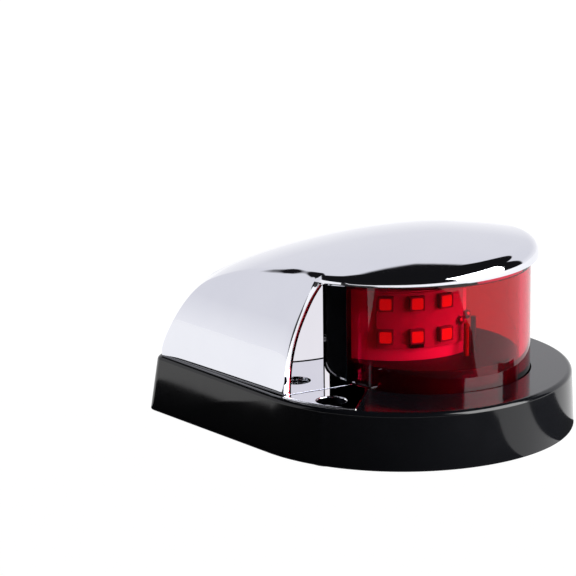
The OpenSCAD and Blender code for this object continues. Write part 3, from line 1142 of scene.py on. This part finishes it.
@dataclass
class LensDrum:
    """The red lens: a drum with a flange below and a top that slopes with the visor."""

    wall: float = 2.6
    flange_r: float = 27.4
    flange_z: tuple[float, float] = (8.5, 10.5)
    top_z: float = 42.0
    cap: float = 3.0
    slope: float = 1.4
    blank_z: float = 50.0

    def build(self) -> bpy.types.Object:
        """Models the drum from a disc by extruding and insetting it.

        Returns:
            The lens, which stands for the CAD lens.
        """
        low, high = self.flange_z
        drum = Bench.cone("lens_drum", (PLAN.lens_x, 0), self.flange_r, self.flange_r, (low, high), 192)
        Bench.open(drum)
        Bench.pick(drum, "face", lambda c, n: n.z > 0.9)
        bpy.ops.mesh.inset(thickness=(self.flange_r - PLAN.lens_r) * MM)
        bpy.ops.mesh.extrude_region_move(
            TRANSFORM_OT_translate={"value": (0, 0, (self.blank_z - high) * MM)})
        Bench.clear()
        a = math.radians(self.slope)
        up = (-math.sin(a), 0, math.cos(a))
        Bench.slice(drum, (PLAN.lens_x, 0, self.top_z), up)
        inner_r = PLAN.lens_r - self.wall
        inner = Bench.cone("chamber", (PLAN.lens_x, 0), inner_r, inner_r, (0, self.blank_z), 192)
        Bench.slice(inner, (PLAN.lens_x, 0, self.top_z - self.cap), up)
        Bench.combine(drum, inner, Solver.CUT)
        Bench.round_edges(drum, 0.35, 3)
        drum.visible_shadow = False
        register(drum, Finishes.RED_LENS, "red_lens", "lens")
        return drum


@dataclass
class LightEngine:
    """Curved board with six LEDs on a white carrier, on its own axis inside the lens."""

    axis: tuple[float, float] = (8.25, 6.0)
    board_r: float = 21.0
    board_t: float = 0.8
    board_z: tuple[float, float] = (22.2, 35.8)
    board_ends: tuple[float, float] = (6.5, 17.0)
    carrier_t: float = 2.0
    carrier_z: tuple[float, float] = (19.0, 36.0)
    carrier_sweep: tuple[float, float] = (-20.0, 66.0)
    shelf_z: tuple[float, float] = (19.0, 21.2)
    shelf_r: float = 4.0
    first: float = 4.0
    step: float = 19.0
    rows: tuple[float, float] = (25.3, 33.4)
    led_w: float = 3.5
    led_t: float = 1.6
    led_sunk: float = 0.12
    well_rim: float = 0.38
    well_depth: float = 0.35
    pane_t: float = 0.4
    pane_sunk: float = 0.36
    pane_corner: float = 0.5

    def on_board(self, azimuth: float, radius: float, z: float) -> Matrix:
        """Gives the place of something that faces out from the board.

        Args:
            azimuth: Degrees, 0 along -Y and 90 along +X.
            radius: Distance from the board's axis.
            z: Height.

        Returns:
            The placing matrix, in metres.
        """
        a = math.radians(azimuth)
        return Matrix.Translation((
            (self.axis[0] + radius * math.sin(a)) * MM, (self.axis[1] - radius * math.cos(a)) * MM, z * MM,
        )) @ Matrix.Rotation(a, 4, "Z")

    def package(self) -> bpy.types.Object:
        """Models one LED body: a block with a shallow square well in its face.

        Returns:
            The body at the origin, its face towards -Y.
        """
        body = Bench.box("led_body", (0, -self.led_t / 2 + self.led_sunk, 0),
                         (self.led_w, self.led_t, self.led_w))
        Bench.open(body)
        Bench.pick(body, "face", lambda c, n: n.y < -0.9)
        bpy.ops.mesh.inset(thickness=self.well_rim * MM)
        bpy.ops.mesh.extrude_region_move(TRANSFORM_OT_translate={"value": (0, self.well_depth * MM, 0)})
        Bench.clear()
        Bench.round_edges(body, 0.1, 2)
        return body

    def window(self) -> bpy.types.Object:
        """Models one LED window: a soft-cornered pillow that fills the well.

        Returns:
            The window at the origin, its face towards -Y.
        """
        size = self.led_w - 2 * self.pane_sunk
        pane = Bench.box("led_pane", (0, -self.led_t + self.pane_sunk, 0), (size, self.pane_t, size))
        Bench.open(pane)
        Bench.pick(pane, "edge", lambda a, b: abs(a.y - b.y) > 0.3)
        bpy.ops.mesh.bevel(offset=self.pane_corner * MM, segments=4, affect="EDGES")
        Bench.clear()
        Bench.round_edges(pane, 0.1, 2)
        return pane

    def spread(self, master: bpy.types.Object, name: str, finish: Finish, slot: str, node: str) -> None:
        """Copies a master piece to every LED place and removes the master.

        Args:
            master: The piece modelled at the origin.
            name: Name of the copies, with a number added.
            finish: Their finish.
            slot: Their material slot.
            node: The CAD node that they stand for.
        """
        count = 0
        for column in range(3):
            for z in self.rows:
                count += 1
                copy = bpy.data.objects.new(f"{name}_{count}", master.data.copy())
                bpy.context.scene.collection.objects.link(copy)
                copy.data.transform(self.on_board(self.first + column * self.step, self.board_r, z))
                register(copy, finish, slot, node)
        bpy.data.objects.remove(master)

    def build(self) -> None:
        """Models the board, its carrier and the LEDs."""
        inner = self.board_r - self.board_t
        sweep = (self.first - self.board_ends[0], self.first + 2 * self.step + self.board_ends[1])
        board = Bench.spun_wall("curved_board", self.axis, (inner, self.board_r), self.board_z, sweep, 48)
        Bench.round_edges(board, 0.08, 1)
        register(board, Finishes.BOARD, "board", "circuit_board")
        carrier = Bench.spun_wall("carrier_wall", self.axis, (inner - self.carrier_t, inner),
                                  self.carrier_z, self.carrier_sweep, 60)
        shelf = Bench.spun_wall("shelf", self.axis, (self.shelf_r, inner - 1), self.shelf_z,
                                self.carrier_sweep, 60)
        Bench.combine(carrier, shelf, Solver.ADD)
        Bench.clean(carrier)
        Bench.round_edges(carrier, 0.25, 2)
        register(carrier, Finishes.WHITE_ABS, "white_plastic", "led_carrier")
        self.spread(self.package(), "led_package", Finishes.CERAMIC, "white_plastic", "led_packages")
        self.spread(self.window(), "led_window", Finishes.PHOSPHOR, "phosphor", "led_windows")


@dataclass
class Pedestal:
    """The matt black drum floor that the light board stands on."""

    r: float = 21.7
    z: tuple[float, float] = (6.5, 19.0)
    wall: float = 2.0

    def build(self) -> bpy.types.Object:
        """Models the pedestal as a cup with a soft top edge.

        Returns:
            The pedestal, which stands for the CAD one.
        """
        cup = Bench.cone("pedestal_cup", (PLAN.lens_x, 0), self.r, self.r, self.z, 128)
        Bench.open(cup)
        Bench.pick(cup, "face", lambda c, n: n.z < -0.9)
        bpy.ops.mesh.inset(thickness=self.wall * MM)
        bpy.ops.mesh.extrude_region_move(
            TRANSFORM_OT_translate={"value": (0, 0, (self.z[1] - self.wall - self.z[0]) * MM)})
        Bench.clear()
        Bench.round_edges(cup, 0.4)
        register(cup, Finishes.BLACK_MATT, "black_matte", "pedestal")
        return cup


@dataclass
class Shield:
    """Black screen inside the back of the lens and black mask outside it: they end the sector."""

    radii: tuple[float, float] = (20.7, 21.7)
    z: tuple[float, float] = (19.0, 36.8)
    sweep: tuple[float, float] = (180.0, 303.0)
    mask_radii: tuple[float, float] = (24.62, 24.78)
    mask_z: tuple[float, float] = (13.0, 40.6)
    mask_sweep: tuple[float, float] = (180.0, 317.0)

    def build(self) -> bpy.types.Object:
        """Models the screen and the mask as spun walls.

        Returns:
            The screen; both pieces stand for the CAD one.
        """
        wall = Bench.spun_wall("lens_screen", (PLAN.lens_x, 0), self.radii, self.z, self.sweep, 64)
        Bench.round_edges(wall, 0.15, 2)
        register(wall, Finishes.BLACK_MATT, "black_matte", "light_shield")
        mask = Bench.spun_wall("lens_rear_mask", (PLAN.lens_x, 0), self.mask_radii, self.mask_z,
                               self.mask_sweep, 96)
        Bench.round_edges(mask, 0.03, 1)
        register(mask, Finishes.BLACK_ABS, "black_abs", "light_shield")
        return wall


@dataclass
class KeptNodes:
    """CAD nodes whose shape is right already, each with its finish."""

    finishes: dict[str, Finish] = field(default_factory=lambda: {
        "base_gasket": Finishes.FOAM,
        "hood_screws": Finishes.BLACK_ZINC,
        "hood_inserts": Finishes.BRASS,
        "lens_top_seal": Finishes.RUBBER,
        "lens_flange_seal": Finishes.RUBBER,
        "lens_clamp_ring": Finishes.BLACK_MATT,
        "clamp_screws": Finishes.STEEL,
        "carrier_screws": Finishes.STEEL,
        "board_resistor": Finishes.CHIP,
        "solder_joints": Finishes.SOLDER,
        "lead_red": Finishes.WIRE_RED,
        "lead_black": Finishes.WIRE_BLACK,
        "cable_grommet": Finishes.RUBBER,
    })

    def dress(self) -> None:
        """Gives every kept CAD node its finish."""
        for name, finish in self.finishes.items():
            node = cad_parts[name]
            node.data.materials.clear()
            node.data.materials.append(finish.material())
            LOG.info("%s: kept from the frame, %s", name, finish.name)


# ---------------------------------------------------------------- studio


@dataclass
class Studio:
    """Camera, pale floor, and a room that is white below and dark above and in front.

    Angles are in degrees. Places of the cards and the camera are in mm, those of the softbox in m:
    softbox_at holds its azimuth, its elevation and how far away it hangs.
    """

    azimuth: float = 11.64
    elevation: float = 14.37
    roll: float = -0.71
    distance: float = 700.0
    target: tuple[float, float, float] = (-20.37, 14.66, 28.21)
    focal: float = 175.51
    front_card: tuple[tuple[float, float], ...] = (
        (-97, 8), (-97, -2), (-61, -33), (-82, -60), (-130, -140), (-60, -180), (0, -190), (70, -175),
        (130, -135), (120, -75), (84, -42))
    side_card: tuple[tuple[float, float], ...] = ((106, -12), (99, 25))
    card_z: float = 0.25
    front_azimuth: float = -57.0
    front_half: tuple[float, float] = (95.0, 91.0)
    front_rise: tuple[float, float] = (0.612, 0.630)
    rear_flag_azimuth: float = 139.0
    rear_flag_half: tuple[float, float] = (24.0, 20.0)
    rear_flag_rise: tuple[float, float] = (0.565, 0.59)
    wall_fade: tuple[float, float] = (0.0, 0.25)
    lens_card_r: float = 25.2
    lens_card_z: tuple[float, float] = (14.6, 40.0)
    bounce_sweep: tuple[float, float] = (180.0, 152.0)
    wing_sweep: tuple[float, float] = (152.0, 118.0)
    softbox_at: tuple[float, float, float] = (75.0, 22.0, 1.0)
    softbox_size: tuple[float, float] = (0.9, 0.95)
    softbox_power: float = 20.0

    def camera(self) -> None:
        """Places the camera, with no depth of field."""
        data = bpy.data.cameras.new("camera")
        data.lens, data.sensor_width = self.focal, 36
        data.clip_start, data.clip_end = 0.01, 20
        cam = bpy.data.objects.new("camera", data)
        bpy.context.scene.collection.objects.link(cam)
        a, e, ro = (math.radians(v) for v in (self.azimuth, self.elevation, self.roll))
        back = Vector((math.sin(a) * math.cos(e), -math.cos(a) * math.cos(e), math.sin(e)))
        right = (-back).cross(Vector((0, 0, 1))).normalized()
        up = right.cross(-back)
        r2 = right * math.cos(ro) + up * math.sin(ro)
        u2 = -right * math.sin(ro) + up * math.cos(ro)
        place = Matrix((r2, u2, back)).transposed().to_4x4()
        place.translation = (Vector(self.target) + back * self.distance) * MM
        cam.matrix_world = place
        bpy.context.scene.camera = cam

    @staticmethod
    def ramp(tree: bpy.types.NodeTree, value: bpy.types.NodeSocket, span: tuple[float, float],
             ends: tuple[float, float], smooth: bool = False) -> bpy.types.NodeSocket:
        """Maps a value from one span to another, held at both ends.

        Args:
            tree: The node tree.
            value: The socket to map.
            span: Where the value starts and ends.
            ends: What it becomes there.
            smooth: Whether the change is eased.

        Returns:
            The mapped value's socket.
        """
        kind = "SMOOTHSTEP" if smooth else "LINEAR"
        return add_node(tree, "ShaderNodeMapRange", {"interpolation_type": kind}, {
            "Value": value, "From Min": span[0], "From Max": span[1],
            "To Min": ends[0], "To Max": ends[1]}).outputs[0]

    @staticmethod
    def sector(tree: bpy.types.NodeTree, way: bpy.types.NodeSocket, azimuth: float,
               half: tuple[float, float], ends: tuple[float, float], smooth: bool = False
               ) -> bpy.types.NodeSocket:
        """Marks a sector of the room round the upright axis.

        Args:
            tree: The node tree.
            way: The direction looked in.
            azimuth: The sector's middle, in degrees from +X towards +Y.
            half: Half its width where its edge starts and ends.
            ends: The value outside it and inside it.
            smooth: Whether the edge is eased.

        Returns:
            The socket with the value.
        """
        flat = add_node(tree, "ShaderNodeVectorMath", {"operation": "MULTIPLY"}, {0: way, 1: (1, 1, 0)})
        unit = add_node(tree, "ShaderNodeVectorMath", {"operation": "NORMALIZE"}, {0: flat.outputs[0]})
        a = math.radians(azimuth)
        dot = add_node(tree, "ShaderNodeVectorMath", {"operation": "DOT_PRODUCT"}, {
            0: unit.outputs[0], 1: (math.cos(a), math.sin(a), 0)})
        span = tuple(math.cos(math.radians(h)) for h in half)
        return Studio.ramp(tree, dot.outputs["Value"], span, ends, smooth)

    def room(self) -> None:
        """Makes the room's light: white round the light up to a height, dark above and in front."""
        world = bpy.data.worlds.new("studio_room")
        world.use_nodes = True
        tree = world.node_tree
        tree.nodes.clear()
        way = add_node(tree, "ShaderNodeTexCoord").outputs["Generated"]
        rise = add_node(tree, "ShaderNodeSeparateXYZ", {}, {0: way}).outputs[2]
        low = self.ramp(tree, rise, self.front_rise, (1.0, 0.0), smooth=True)
        open_side = self.sector(tree, way, self.front_azimuth, self.front_half, (1.0, 0.0), smooth=True)
        flag = self.sector(tree, way, self.rear_flag_azimuth, self.rear_flag_half, (0.0, 1.0))
        flag_rise = self.ramp(tree, rise, self.rear_flag_rise, (0.0, 1.0))
        hidden = add_node(tree, "ShaderNodeMath", {"operation": "MULTIPLY"}, {0: flag, 1: flag_rise})
        left = add_node(tree, "ShaderNodeMath", {"operation": "SUBTRACT", "use_clamp": True}, {
            0: low, 1: hidden.outputs[0]})
        both = add_node(tree, "ShaderNodeMath", {"operation": "MULTIPLY"}, {
            0: left.outputs[0], 1: open_side})
        panel = add_node(tree, "ShaderNodeMix", {"data_type": "RGBA"}, {
            0: self.ramp(tree, rise, self.wall_fade, (0.0, 1.0)),
            6: (1.0, 1.0, 1.02, 1), 7: (0.83, 0.83, 0.87, 1)})
        colour = add_node(tree, "ShaderNodeMix", {"data_type": "RGBA"}, {
            0: both.outputs[0], 6: (0.008, 0.008, 0.009, 1), 7: panel.outputs[2]})
        lit = add_node(tree, "ShaderNodeBackground", {}, {0: colour.outputs[2], 1: 1.0})
        plain = add_node(tree, "ShaderNodeBackground", {}, {0: (1, 1, 1, 1), 1: 1.0})
        seen = add_node(tree, "ShaderNodeLightPath").outputs["Is Camera Ray"]
        mix = add_node(tree, "ShaderNodeMixShader", {}, {0: seen, 1: lit.outputs[0], 2: plain.outputs[0]})
        add_node(tree, "ShaderNodeOutputWorld", {}, {"Surface": mix.outputs[0]})
        bpy.context.scene.world = world

    def floor(self) -> None:
        """Lays a wide white floor."""
        Bench.clear()
        bpy.ops.mesh.primitive_circle_add(vertices=96, radius=6, fill_type="NGON")
        floor = bpy.context.object
        floor.name = "studio_floor"
        mat = bpy.data.materials.new("white_paper_sweep")
        mat.use_nodes = True
        shader = mat.node_tree.nodes["Principled BSDF"]
        shader.inputs["Base Color"].default_value = linear("#505052")
        shader.inputs["Roughness"].default_value = 0.9
        shader.inputs["Emission Color"].default_value = (1, 1, 1, 1)
        shader.inputs["Emission Strength"].default_value = 1.0
        floor.data.materials.append(mat)

    def flags(self) -> None:
        """Lays black cards on the floor round the light, which the camera doesn't see."""
        mat = bpy.data.materials.new("black_felt_card")
        mat.use_nodes = True
        shader = mat.node_tree.nodes["Principled BSDF"]
        shader.inputs["Base Color"].default_value = (0.004, 0.004, 0.004, 1)
        shader.inputs["Roughness"].default_value = 1.0
        for number, edge in enumerate((self.front_card, self.side_card)):
            rows = [[(10.0, -12.0, self.card_z)] * len(edge), [(x, y, self.card_z) for x, y in edge]]
            card = Bench.sheet(f"black_card_{number}", rows)
            card.data.materials.append(mat)
            card.visible_camera = False

    def lens_card(self, name: str, side: Side, sweep: tuple[float, float], white: float) -> None:
        """Stands one curved card behind the lens, black towards it, which only reflections see.

        Args:
            name: Name of the card.
            side: Which side of the light.
            sweep: First and last azimuth in degrees, from +X.
            white: How bright its face towards the bulkhead is.
        """
        mat = bpy.data.materials.new(f"{name}_{side.name.lower()}_paper")
        mat.use_nodes = True
        tree = mat.node_tree
        tree.nodes.clear()
        back = add_node(tree, "ShaderNodeNewGeometry").outputs["Backfacing"]
        lit = add_node(tree, "ShaderNodeEmission", {}, {0: (1, 0.97, 0.98, 1), 1: white})
        dark = add_node(tree, "ShaderNodeEmission", {}, {0: (0.003, 0.003, 0.003, 1), 1: 1.0})
        mix = add_node(tree, "ShaderNodeMixShader", {}, {0: back, 1: lit.outputs[0], 2: dark.outputs[0]})
        add_node(tree, "ShaderNodeOutputMaterial", {}, {"Surface": mix.outputs[0]})
        angles = np.radians(np.linspace(*sweep, 24) * side.value)
        rows = [[(PLAN.lens_x + self.lens_card_r * math.cos(t), self.lens_card_r * math.sin(t), z)
                 for t in angles] for z in self.lens_card_z]
        card = Bench.sheet(f"{name}_{side.name.lower()}", rows)
        if sum(f.normal.x for f in card.data.polygons) > 0:
            card.data.flip_normals()
        card.data.materials.append(mat)
        card.visible_camera = card.visible_diffuse = card.visible_shadow = False
        card.visible_transmission = False

    def softbox(self, name: str, azimuth: float, elevation: float, away: float, size: tuple[float, float],
                power: float) -> None:
        """Hangs one soft light that faces the light's middle.

        Args:
            name: Name of the lamp.
            azimuth: Degrees round, 0 along -Y and 90 along +X.
            elevation: Degrees up.
            away: Distance in m.
            size: Width and height in m.
            power: Watts.
        """
        data = bpy.data.lights.new(name, "AREA")
        data.shape, data.size, data.size_y, data.energy = "RECTANGLE", size[0], size[1], power
        lamp = bpy.data.objects.new(name, data)
        bpy.context.scene.collection.objects.link(lamp)
        a, e = math.radians(azimuth), math.radians(elevation)
        back = Vector((math.sin(a) * math.cos(e), -math.cos(a) * math.cos(e), math.sin(e)))
        lamp.location = Vector((0, 0, 0.025)) + back * away
        lamp.rotation_mode = "QUATERNION"
        lamp.rotation_quaternion = (-back).to_track_quat("-Z", "Y")

    def build(self) -> None:
        """Sets up the whole studio."""
        self.camera()
        self.room()
        self.floor()
        self.flags()
        for side in Side:
            self.lens_card("bounce_card", side, self.bounce_sweep, 1.0)
            self.lens_card("black_wing", side, self.wing_sweep, 0.0)
        self.softbox("front_softbox", *self.softbox_at, self.softbox_size, self.softbox_power)
        bpy.context.scene.view_settings.view_transform = "Standard"


def main() -> None:
    """Builds the studio and the pieces in order."""
    logging.basicConfig(level=logging.INFO, format="%(name)s %(message)s")
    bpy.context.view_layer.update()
    Studio().build()
    Plinth().build()
    for side in Side:
        FootPlate(side).build()
    HoodShell().build()
    HoodBulkhead().build()
    HoodFoot().build()
    LensDrum().build()
    Pedestal().build()
    Shield().build()
    LightEngine().build()
    KeptNodes().dress()


if __name__ == "__main__":
    main()
